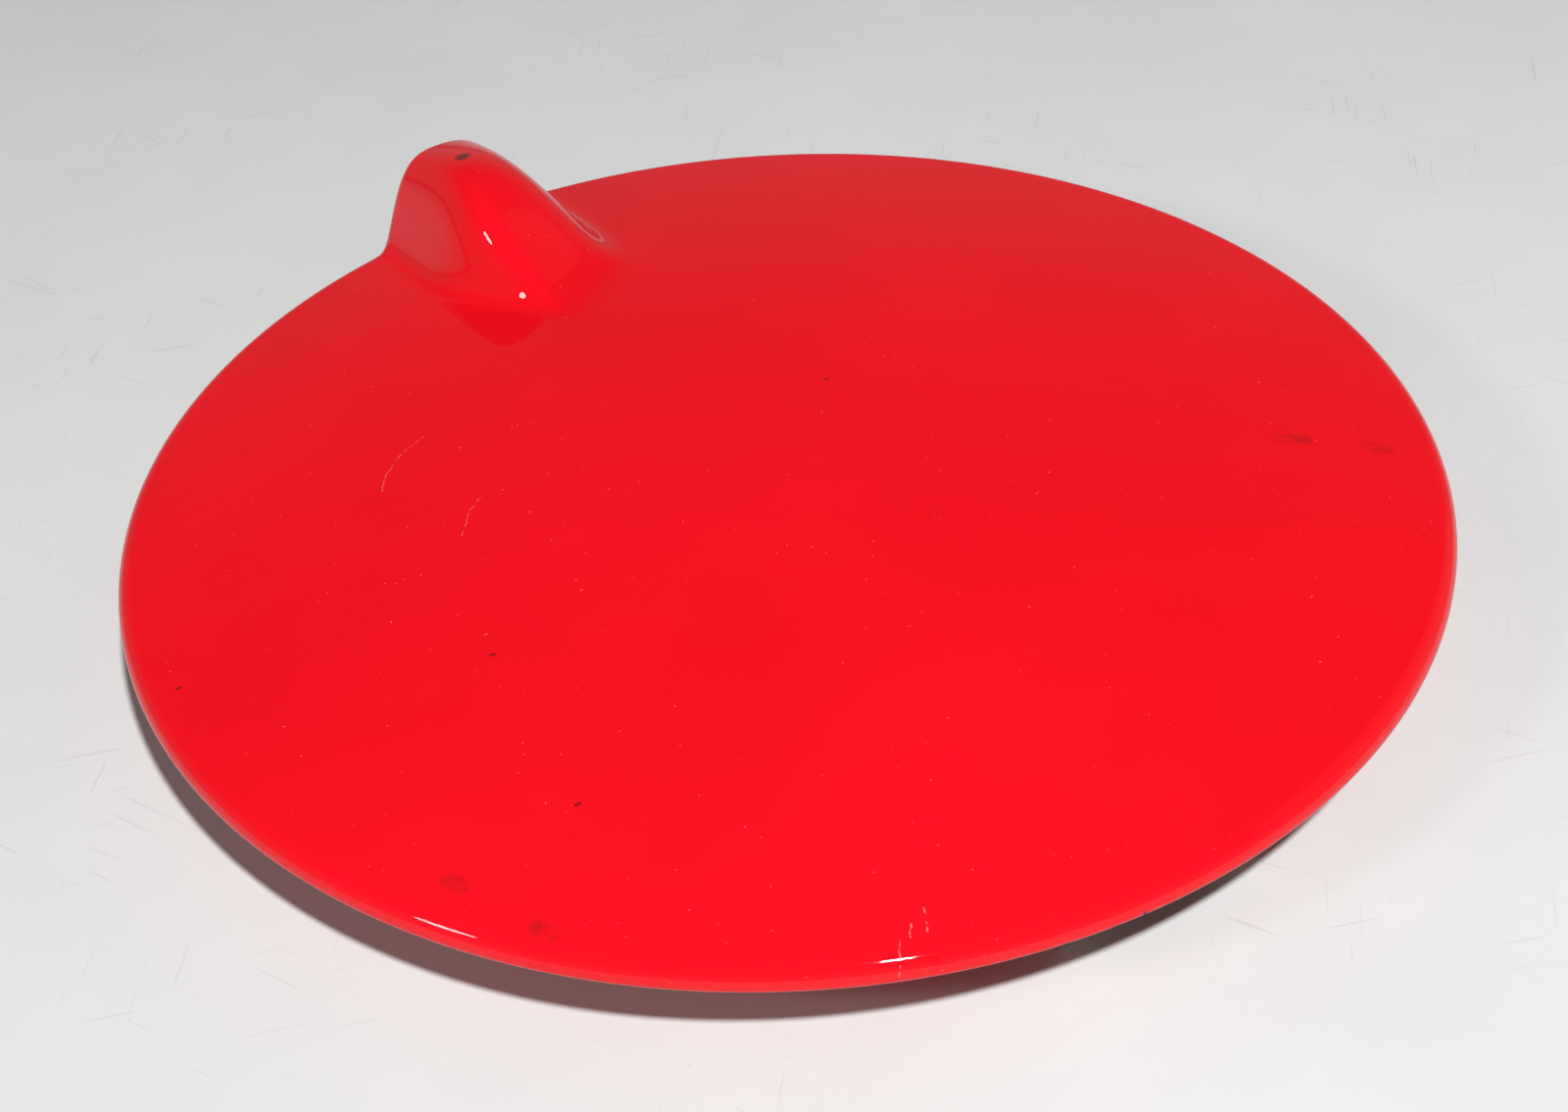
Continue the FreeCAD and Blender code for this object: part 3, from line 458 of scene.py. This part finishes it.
def streaks(tree, at, lines, width):
    """One mask for several lines, each a list of (x, y) or (x, y, z) corners."""
    total = 0.0
    for corners in lines:
        for start, end in zip(corners, corners[1:]):
            made = tree.nodes.new("ShaderNodeGroup")
            made.node_tree = STREAK
            put(tree, made.inputs["Place"], at)
            put(tree, made.inputs["Start"], (*start, 0.0)[:3])
            put(tree, made.inputs["End"], (*end, 0.0)[:3])
            put(tree, made.inputs["Width"], width)
            total = maths(tree, "MAXIMUM", made.outputs[0], total)
    return total


def marked(tree, at, lines, look):
    """The mask of these lines, as wide and as strong as look says."""
    width, strength = look
    return maths(tree, "MULTIPLY", streaks(tree, at, lines, width), strength)


# ------------------------------------------------------------------ materials
PAINT_RED = (0.77, 0.0045, 0.0125)
PAINT_SHADE = (0.73, 0.0040, 0.0110)
BARE_SCRATCH = (0.90, 0.20, 0.17)
PRIMER = (0.022, 0.014, 0.013)
SMUDGED_RED = (0.38, 0.006, 0.010)
RUBBED_RED = (0.07, 0.004, 0.005)
DOT_RED = (0.16, 0.005, 0.006)
DUST_RED = (0.90, 0.22, 0.20)
# pale pink band painted on the hem's lowest outer corner, broken up by noise
PALE_EDGE_COLOUR = (0.55, 0.30, 0.27)
PALE_EDGE_TOP = HEM_HEIGHT + 0.22      # the pale band covers the hem's outer corner below this height
PALE_EDGE_BAND = 1.2                   # and this near to the disc's edge
WOBBLE = 0.5                      # how far the marks' outlines stray
CUT_DEPTH = 0.05                  # of scratches and chips
PEEL_DEPTH = 0.0012               # of the clear coat's orange peel

# the marks on the paint, as (x, y) or (x, y, z) corners
LONG_SCRATCHES = [[(-37.5, 33.1), (-42.2, 31.3), (-45.6, 28.4), (-47.5, 25.7)],
                  [(-37.7, 15.3), (-40.4, 13.6), (-43.6, 9.6)]]
SHORT_SCRATCHES = [[(-31.5, -76.8), (-33.0, -79.6)], [(-34.0, -77.8), (-35.0, -79.2)],
                   [(-36.3, -78.9), (-38.6, -82.2)], [(-39.6, -82.6), (-40.4, -83.6)]]
RIM_CHIPS = [[(-20.1, -87.6, 12.2), (-19.2, -87.8, 12.2)],
             [(-13.9, -88.8, 12.3), (-12.9, -89.0, 12.2)],
             [(-10.2, -89.3, 12.7), (-9.9, -89.3, 12.6)]]
SMUDGES = [[(-73.0, -41.6), (-72.0, -43.0)], [(-68.0, -53.6), (-67.0, -55.4)],
           [(57.2, -36.3), (60.0, -38.0)], [(66.9, -43.5), (68.4, -45.0)]]
PULL_SMUDGE = [[(-6.0, 78.0), (-5.6, 78.4)]]
DARK_DOTS = [[(-85.0, 8.6), (-84.7, 8.5)], [(13.3, 8.7), (13.6, 8.6)],
             [(-51.6, -13.2), (-51.2, -13.3)], [(-55.6, -41.1), (-55.2, -41.2)]]

# how far each kind of mark reaches from its line, and how strong it is
LONG_SCRATCH_LOOK = (0.13, 0.45)
SHORT_SCRATCH_LOOK = (0.15, 0.70)
CHIP_LOOK = (0.42, 1.0)
SMUDGE_LOOK = (1.5, 0.70)
PULL_SMUDGE_LOOK = (1.5, 0.85)
DOT_LOOK = (0.35, 0.80)
DUST_STRENGTH = 0.5
PALE_EDGE_STRENGTH = 0.55


def body_paint():
    """Solid red top coat under clear gloss, with the marks that use has left on it and a pale pink band
    painted along the hem's lowest edge.
    """
    made, tree, shader = new_material(
        "body_paint", Coat_Weight=0.80, Coat_Roughness=0.03, Coat_IOR=1.43, Specular_IOR_Level=0.0)
    at = place(tree)
    ripple = add(tree, "ShaderNodeTexNoise", {"Vector": at, "Scale": 0.8}).outputs["Color"]
    ripple = vector_maths(tree, "SUBTRACT", ripple, (0.5, 0.5, 0.5)).outputs[0]
    ripple = stretched(tree, ripple, (WOBBLE, WOBBLE, WOBBLE))
    ragged = vector_maths(tree, "ADD", at, ripple).outputs[0]
    flat_ragged = stretched(tree, ragged, (1.0, 1.0, 0.0))

    cloud = noise(tree, at, 30.0, 3.0)
    colour = mix(tree, ramp(tree, cloud, 0.3, 0.7), PAINT_RED, PAINT_SHADE)

    patchy = ramp(tree, noise(tree, at, 1.7, 3.0), 0.25, 0.75)
    smudge = maths(tree, "MULTIPLY", marked(tree, flat_ragged, SMUDGES, SMUDGE_LOOK), patchy)
    colour = mix(tree, smudge, colour, SMUDGED_RED)
    colour = mix(tree, marked(tree, flat_ragged, PULL_SMUDGE, PULL_SMUDGE_LOOK), colour, RUBBED_RED)
    colour = mix(tree, marked(tree, flat_ragged, DARK_DOTS, DOT_LOOK), colour, DOT_RED)

    broken = ramp(tree, noise(tree, at, 0.7, 2.0), 0.40, 0.58)
    long_marks = marked(tree, flat_ragged, LONG_SCRATCHES, LONG_SCRATCH_LOOK)
    short_marks = marked(tree, flat_ragged, SHORT_SCRATCHES, SHORT_SCRATCH_LOOK)
    marks = maths(tree, "MULTIPLY", maths(tree, "MAXIMUM", long_marks, short_marks), broken)
    dust = ramp(tree, noise(tree, at, 0.55, 1.0), 0.785, 0.82)
    colour = mix(tree, maths(tree, "MULTIPLY", dust, DUST_STRENGTH), colour, DUST_RED)
    colour = mix(tree, marks, colour, BARE_SCRATCH)

    chips = marked(tree, ragged, RIM_CHIPS, CHIP_LOOK)
    # a pale pink band, broken up by noise, painted on the hem's lowest outer corner near the disc's edge
    height = add(tree, "ShaderNodeSeparateXYZ", {0: at}).outputs["Z"]
    low_edge = ramp(tree, height, PALE_EDGE_TOP, HEM_HEIGHT + 0.10)
    radius = vector_maths(tree, "LENGTH", stretched(tree, at, (1.0, 1.0, 0.0))).outputs["Value"]
    outer_band = ramp(tree, radius, DISC_RADIUS - PALE_EDGE_BAND, DISC_RADIUS - PALE_EDGE_BAND + 0.4)
    low_edge = maths(tree, "MULTIPLY", low_edge, outer_band)
    patch_mask = maths(tree, "MULTIPLY", low_edge, ramp(tree, noise(tree, at, 3.0, 4.0, 0.7), 0.42, 0.62))
    colour = mix(tree, maths(tree, "MULTIPLY", patch_mask, PALE_EDGE_STRENGTH), colour, PALE_EDGE_COLOUR)
    colour = mix(tree, chips, colour, PRIMER)
    put(tree, shader.inputs["Base Color"], colour)

    damage = maths(tree, "MAXIMUM", chips, marks)
    put(tree, shader.inputs["Roughness"], maths(tree, "ADD", maths(tree, "MULTIPLY", damage, 0.4), 0.38))
    put(tree, shader.inputs["Normal"], bump(tree, maths(tree, "MULTIPLY", damage, -1.0), CUT_DEPTH))
    put(tree, shader.inputs["Coat Normal"], bump(tree, noise(tree, at, 1.6, 1.0), PEEL_DEPTH))
    return made


def panel_paint():
    """The same red on the inner panel: a thin dry coat with little gloss and patches of dirt."""
    made, tree, shader = new_material(
        "panel_paint", Coat_Weight=0.35, Coat_Roughness=0.22, Specular_IOR_Level=0.35)
    at = place(tree)
    thin = noise(tree, at, 14.0, 4.0, 0.6)
    colour = mix(tree, ramp(tree, thin, 0.35, 0.7), (0.62, 0.010, 0.014), (0.50, 0.016, 0.016))
    dirt = maths(tree, "MULTIPLY", ramp(tree, noise(tree, at, 6.0, 5.0, 0.65), 0.52, 0.75), 0.45)
    colour = mix(tree, dirt, colour, (0.20, 0.075, 0.055))
    put(tree, shader.inputs["Base Color"], colour)
    put(tree, shader.inputs["Roughness"], ramp(tree, noise(tree, at, 5.0, 3.0), 0.3, 0.7, 0.38, 0.62))
    put(tree, shader.inputs["Normal"], bump(tree, noise(tree, at, 0.8, 2.0), 0.02))
    return made


def sealer():
    """Seam sealer brushed on before the paint: body colour, lumpy and dull."""
    made, tree, shader = new_material("hem_sealer", Specular_IOR_Level=0.4)
    at = place(tree)
    tone = ramp(tree, noise(tree, at, 4.0, 3.0), 0.4, 0.65)
    colour = mix(tree, tone, (0.52, 0.013, 0.016), (0.36, 0.050, 0.042))
    put(tree, shader.inputs["Base Color"], colour)
    put(tree, shader.inputs["Roughness"], ramp(tree, noise(tree, at, 2.0, 2.0), 0.3, 0.7, 0.45, 0.7))
    put(tree, shader.inputs["Normal"], bump(tree, noise(tree, at, 1.8, 3.0), 0.25))
    return made


def mastic():
    """Black butyl that stays soft, with a skin of dust."""
    made, tree, shader = new_material("mastic", Specular_IOR_Level=0.3)
    at = place(tree)
    dusty = ramp(tree, noise(tree, at, 1.5, 4.0), 0.45, 0.7)
    colour = mix(tree, dusty, (0.022, 0.021, 0.020), (0.075, 0.070, 0.064))
    put(tree, shader.inputs["Base Color"], colour)
    put(tree, shader.inputs["Roughness"], ramp(tree, noise(tree, at, 1.0), 0.3, 0.7, 0.55, 0.85))
    put(tree, shader.inputs["Normal"], bump(tree, noise(tree, at, 1.2, 3.0), 0.2))
    return made


def rubber():
    """Black moulded rubber, greyed by dust and with a fine grain."""
    made, tree, shader = new_material("rubber", Specular_IOR_Level=0.35)
    at = place(tree)
    dusty = ramp(tree, noise(tree, at, 2.6, 5.0, 0.65), 0.45, 0.72)
    put(tree, shader.inputs["Base Color"], mix(tree, dusty, (0.017, 0.017, 0.018), (0.085, 0.080, 0.072)))
    put(tree, shader.inputs["Roughness"], ramp(tree, dusty, 0.0, 1.0, 0.50, 0.85))
    put(tree, shader.inputs["Normal"], bump(tree, noise(tree, at, 0.22, 2.0), 0.012))
    return made


def metal(name, bright, dull, patch, rough, grain, depth):
    """Plated or bare steel: two tones in patches, uneven gloss and fine grain along one way."""
    made, tree, shader = new_material(name, Metallic=1.0)
    at = place(tree)
    patch_mask = noise(tree, at, patch, 5.0, 0.62)
    fine = noise(tree, stretched(tree, at, grain), 0.35, 3.0)
    put(tree, shader.inputs["Base Color"], mix(tree, ramp(tree, patch_mask, 0.38, 0.66), bright, dull))
    gloss = maths(tree, "ADD", ramp(tree, patch_mask, 0.3, 0.7, rough - 0.09, rough + 0.14),
                  maths(tree, "MULTIPLY", fine, 0.08))
    put(tree, shader.inputs["Roughness"], gloss)
    put(tree, shader.inputs["Normal"], bump(tree, fine, depth))
    return made


def moulded(name, colour, faded, rough, depth):
    """Moulded plastic with a fine spark-eroded grain and a slight sheen."""
    made, tree, shader = new_material(name)
    at = place(tree)
    tone = ramp(tree, noise(tree, at, 5.0, 4.0), 0.35, 0.7)
    put(tree, shader.inputs["Base Color"], mix(tree, tone, colour, faded))
    gloss = ramp(tree, noise(tree, at, 1.4, 3.0), 0.3, 0.7, rough - 0.07, rough + 0.1)
    put(tree, shader.inputs["Roughness"], gloss)
    put(tree, shader.inputs["Normal"], bump(tree, noise(tree, at, 0.3, 2.0), depth))
    return made


def floor_material():
    """Pale table top: faint mottling, hairline scratches and a few specks."""
    made, tree, shader = new_material("table", Specular_IOR_Level=0.25)
    at = place(tree)
    tone = ramp(tree, noise(tree, at, 60.0, 5.0, 0.6), 0.3, 0.7)
    colour = mix(tree, tone, (0.675, 0.678, 0.675), (0.650, 0.655, 0.648))
    speck = ramp(tree, noise(tree, at, 1.6, 2.0), 0.74, 0.79)
    patch_mask = ramp(tree, noise(tree, at, 45.0, 2.0), 0.45, 0.62)
    for turn in FLOOR_MARK_TURNS:
        turned = add(tree, "ShaderNodeVectorRotate", {"Vector": at, "Angle": math.radians(turn)},
                     rotation_type="Z_AXIS").outputs[0]
        drawn_out = stretched(tree, turned, (FLOOR_MARK_STRETCH, 1.0, 1.0))
        hairline = ramp(tree, noise(tree, drawn_out, 0.8, 1.0), 0.70, 0.74)
        speck = maths(tree, "MAXIMUM", speck, maths(tree, "MULTIPLY", hairline, patch_mask))
    colour = mix(tree, maths(tree, "MULTIPLY", speck, 0.20), colour, (0.30, 0.28, 0.27))
    put(tree, shader.inputs["Base Color"], colour)
    put(tree, shader.inputs["Roughness"], ramp(tree, noise(tree, at, 20.0, 3.0), 0.3, 0.7, 0.55, 0.7))
    return made


def paint_nodes():
    """Give each CAD node the material of its slot in the record."""
    zinc = ((0.62, 0.60, 0.54), (0.40, 0.39, 0.36))
    steel = ((0.46, 0.45, 0.44), (0.25, 0.24, 0.23))
    dark = ((0.14, 0.135, 0.13), (0.075, 0.07, 0.065))
    nylon = ((0.74, 0.71, 0.62), (0.64, 0.60, 0.50))
    black = ((0.028, 0.028, 0.030), (0.060, 0.058, 0.055))
    looks = {
        "body_paint": body_paint(),
        "panel_paint": panel_paint(),
        "hem_sealer": sealer(),
        "mastic": mastic(),
        "rubber": rubber(),
        "zinc_plate": metal("zinc_plate", *zinc, 3.0, 0.42, (1.0, 1.0, 1.0), 0.01),
        "screw_steel": metal("screw_steel", *steel, 1.2, 0.40, (1.0, 1.0, 3.0), 0.008),
        "striker_steel": metal("striker_steel", *zinc, 2.0, 0.30, (4.0, 4.0, 1.0), 0.008),
        "pin_steel": metal("pin_steel", *steel, 1.5, 0.30, (6.0, 1.0, 1.0), 0.006),
        "clip_steel": metal("clip_steel", *dark, 1.0, 0.38, (1.0, 1.0, 1.0), 0.006),
        "spring_steel": metal("spring_steel", *dark, 1.4, 0.34, (1.0, 3.0, 3.0), 0.008),
        "bush_nylon": moulded("bush_nylon", *nylon, 0.42, 0.006),
        "holder_plastic": moulded("holder_plastic", *black, 0.50, 0.015),
    }
    for entry in frame["record"]["subparts"]:
        mesh = nodes[entry["node"]].data
        mesh.materials.clear()
        mesh.materials.append(looks[entry["material_slot"]])
    return looks


# ------------------------------------------------------------------ stage, light and camera
def direction(azimuth, elevation):
    a = math.radians(azimuth)
    e = math.radians(elevation)
    return Vector((math.sin(a) * math.cos(e), -math.cos(a) * math.cos(e), math.sin(e)))


def lamp(name, azimuth, elevation, distance, strength, diameter):
    """Round lamp that faces the flap; strength is what it sheds on a surface that faces it there."""
    data = bpy.data.lights.new(name, "AREA")
    data.shape = "DISK"
    data.size = diameter * MM
    data.energy = strength * math.pi * (distance * MM) ** 2
    made = bpy.data.objects.new(name, data)
    made.rotation_mode = "QUATERNION"
    made.rotation_quaternion = direction(azimuth, elevation).to_track_quat("Z", "Y")
    made.location = direction(azimuth, elevation) * distance * MM
    bpy.context.scene.collection.objects.link(made)


def floor():
    half = FLOOR_SIZE / 2 * MM
    mesh = bpy.data.meshes.new("floor")
    corners = [(-half, -half, 0), (half, -half, 0), (half, half, 0), (-half, half, 0)]
    mesh.from_pydata(corners, [], [(0, 1, 2, 3)])
    made = bpy.data.objects.new("floor", mesh)
    made.location.z = cad_box[0].z
    mesh.materials.append(floor_material())
    bpy.context.scene.collection.objects.link(made)


def surroundings():
    """Plain room: a pale band round the horizon that darkens softly overhead."""
    world = bpy.data.worlds.new("studio")
    bpy.context.scene.world = world
    world.use_nodes = True
    tree = world.node_tree
    towards = tree.nodes.new("ShaderNodeTexCoord").outputs["Generated"]
    height = add(tree, "ShaderNodeSeparateXYZ", {0: towards}).outputs["Z"]
    colour = mix(tree, ramp(tree, height, HORIZON_END, CEILING_START), HORIZON, CEILING)
    put(tree, tree.nodes["Background"].inputs["Color"], colour)


def camera():
    data = bpy.data.cameras.new("camera")
    data.lens = LENS
    data.clip_start = 0.01
    data.clip_end = 100.0
    made = bpy.data.objects.new("camera", data)
    top = Vector((0.0, 0.0, DOME_CENTRE + DOME_RADIUS))
    made.location = (top + direction(CAMERA_AZIMUTH, CAMERA_ELEVATION) * CAMERA_DISTANCE) * MM
    look = (Vector(CAMERA_AIM) * MM - made.location).to_track_quat("-Z", "Y")
    made.rotation_mode = "QUATERNION"
    made.rotation_quaternion = look @ Quaternion((0.0, 0.0, 1.0), math.radians(CAMERA_ROLL))
    bpy.context.scene.collection.objects.link(made)
    bpy.context.scene.camera = made


# ------------------------------------------------------------------ put together
looks = paint_nodes()

skin = skin_mesh()
skin.data.materials.append(looks["body_paint"])
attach(skin, "flap")
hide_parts("outer_skin")

spring = wire_mesh("closing_spring", spring_path(), WIRE, WIRE_SIDES)
spring.data.materials.append(looks["spring_steel"])
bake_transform(spring)
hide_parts("torsion_spring")

floor()
surroundings()
lamp("key_lamp", *KEY_LAMP)
lamp("side_panel", *SIDE_PANEL)
lamp("left_lamp", *LEFT_LAMP)
camera()
bpy.context.scene.view_settings.view_transform = "Standard"
